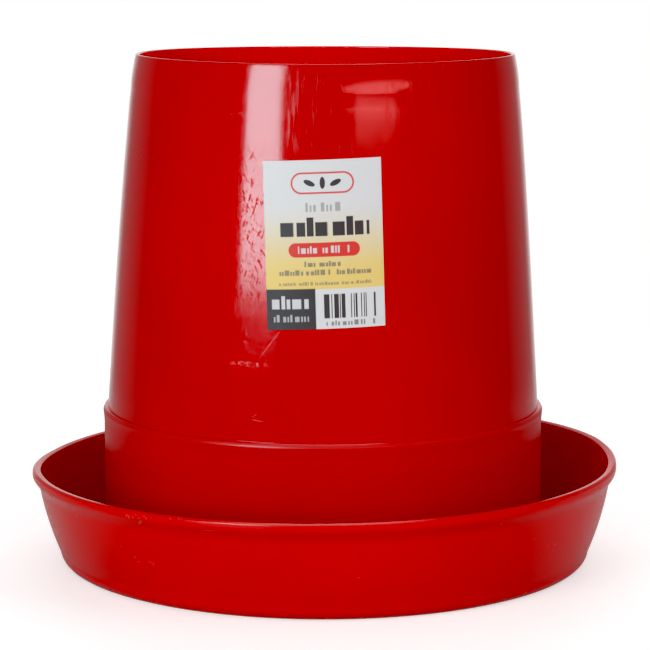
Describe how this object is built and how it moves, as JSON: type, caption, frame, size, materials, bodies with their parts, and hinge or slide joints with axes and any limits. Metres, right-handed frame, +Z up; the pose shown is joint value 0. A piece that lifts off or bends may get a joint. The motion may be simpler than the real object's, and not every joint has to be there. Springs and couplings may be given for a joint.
{
  "type": "gravity poultry feeder",
  "caption": "Gravity feeder for poultry: an open tapered hopper stands in a round pan, and feed runs over a cone and out through ports in the hopper's skirt.",
  "frame": {"origin": "centre of the pan's underside, where the feeder rests on the ground", "axes": "+Z up along the axis of the pan and hopper; -Y is the front, where the label is; +X to the right seen from the front"},
  "size_m": [0.357, 0.357, 0.308],
  "materials": {
    "pan_plastic": "glossy moulded polypropylene, lightly scuffed",
    "cone_plastic": "glossy moulded polypropylene",
    "hopper_plastic": "glossy moulded polypropylene, lightly scuffed",
    "label_paper": "coated paper, printed"
  },
  "bodies": {
    "pan": {"feed_pan": "pan_plastic", "feed_cone": "cone_plastic"},
    "hopper": {"hopper": "hopper_plastic", "label": "label_paper"}
  },
  "joints": [
    {"name": "hopper_lift", "type": "slide", "parent": "pan", "child": "hopper", "axis": [0, 0, 1], "range_m": [0, 0.12]}
  ]
}
